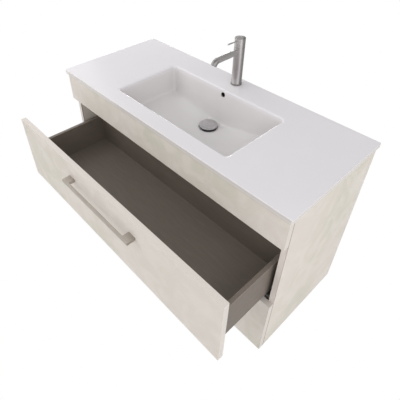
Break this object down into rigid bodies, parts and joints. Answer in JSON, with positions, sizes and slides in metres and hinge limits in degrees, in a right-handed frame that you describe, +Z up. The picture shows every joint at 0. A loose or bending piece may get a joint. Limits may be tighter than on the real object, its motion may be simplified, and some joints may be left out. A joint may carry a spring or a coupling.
{
  "type": "wall-hung bathroom vanity",
  "caption": "Wall-hung vanity cabinet with pull-out drawers under a ceramic top with a moulded rectangular basin, a single-lever mixer and a push-open waste.",
  "frame": {"origin": "centre of the rectangle of the wall plates' four screw holes, on the wall plane", "axes": "+X to the right seen from the front, +Y into the wall, +Z up; the drawers pull out along -Y"},
  "size_m": [1.014, 0.665, 0.807],
  "materials": {
    "laminate": "pale cement-look laminate on particle board, matt",
    "drawer_board": "dark taupe laminate with a fine linen grain, matt",
    "white_ceramic": "white glaze",
    "brushed_nickel": "fine brushed nickel",
    "zinc_steel": "zinc-plated steel",
    "grey_plastic": "moulded",
    "black_rubber": "matt",
    "brass": "machined"
  },
  "bodies": {
    "cabinet": {"left_side_panel": "laminate", "right_side_panel": "laminate", "bottom_panel": "laminate", "upper_rear_rail": "laminate", "lower_rear_rail": "laminate", "front_rail": "laminate", "apron_panel": "laminate", "left_hanger": "grey_plastic", "right_hanger": "grey_plastic", "hanger_hooks": "zinc_steel", "wall_plates": "zinc_steel", "carcass_cams": "zinc_steel", "carcass_screws": "zinc_steel", "ceramic_top": "white_ceramic", "waste_body": "brushed_nickel", "waste_seal": "black_rubber", "waste_nut": "grey_plastic", "plug_cartridge": "brass", "tap_base_ring": "brushed_nickel", "tap_body": "brushed_nickel", "tap_spout": "brushed_nickel", "tap_aerator": "grey_plastic", "tap_cartridge": "grey_plastic", "cartridge_nut": "brass", "tap_stud": "brass", "tap_washer": "black_rubber", "tap_clamp": "zinc_steel", "tap_nut": "brass", "upper_left_cabinet_rail": "zinc_steel", "upper_right_cabinet_rail": "zinc_steel", "lower_left_cabinet_rail": "zinc_steel", "lower_right_cabinet_rail": "zinc_steel"},
    "upper_runners": {"upper_middle_rails": "zinc_steel"},
    "upper_drawer": {"upper_front": "laminate", "upper_left_side": "drawer_board", "upper_right_side": "drawer_board", "upper_box_front": "drawer_board", "upper_box_back": "drawer_board", "upper_bottom": "drawer_board", "upper_handle": "brushed_nickel", "upper_clips": "grey_plastic", "upper_screws": "zinc_steel", "upper_drawer_rails": "zinc_steel"},
    "lower_runners": {"lower_middle_rails": "zinc_steel"},
    "lower_drawer": {"lower_front": "laminate", "lower_left_side": "drawer_board", "lower_right_side": "drawer_board", "lower_box_front": "drawer_board", "lower_box_back": "drawer_board", "lower_bottom": "drawer_board", "lower_handle": "brushed_nickel", "lower_clips": "grey_plastic", "lower_screws": "zinc_steel", "lower_drawer_rails": "zinc_steel"},
    "mixer_dome": {"tap_rotor": "grey_plastic", "tap_dome": "brushed_nickel"},
    "mixer_cap": {"tap_stem": "brass", "tap_cap": "brushed_nickel", "tap_lever": "brushed_nickel"},
    "plug": {"waste_plug": "brushed_nickel"}
  },
  "joints": [
    {"name": "upper_drawer_slide", "type": "slide", "parent": "cabinet", "child": "upper_drawer", "axis": [0, -1, 0], "range_m": [-0.216, 0.084]},
    {"name": "upper_runner_slide", "type": "slide", "parent": "cabinet", "child": "upper_runners", "axis": [0, -1, 0], "range_m": [-0.108, 0.042]},
    {"name": "lower_drawer_slide", "type": "slide", "parent": "cabinet", "child": "lower_drawer", "axis": [0, -1, 0], "range_m": [0, 0.3]},
    {"name": "lower_runner_slide", "type": "slide", "parent": "cabinet", "child": "lower_runners", "axis": [0, -1, 0], "range_m": [0, 0.15]},
    {"name": "mixer_turn", "type": "hinge", "parent": "cabinet", "child": "mixer_dome", "pos_m": [0, -0.042, 0.219], "axis": [0, 0, 1], "range_deg": [-45, 45]},
    {"name": "mixer_lift", "type": "hinge", "parent": "mixer_dome", "child": "mixer_cap", "pos_m": [0, -0.042, 0.219], "axis": [-1, 0, 0], "range_deg": [0, 24]},
    {"name": "plug_click", "type": "slide", "parent": "cabinet", "child": "plug", "axis": [0, 0, 1], "range_m": [-0.006, 0]}
  ],
  "couplings": [
    {"joint": "upper_runner_slide", "follows": "upper_drawer_slide", "ratio": 0.5},
    {"joint": "lower_runner_slide", "follows": "lower_drawer_slide", "ratio": 0.5}
  ]
}
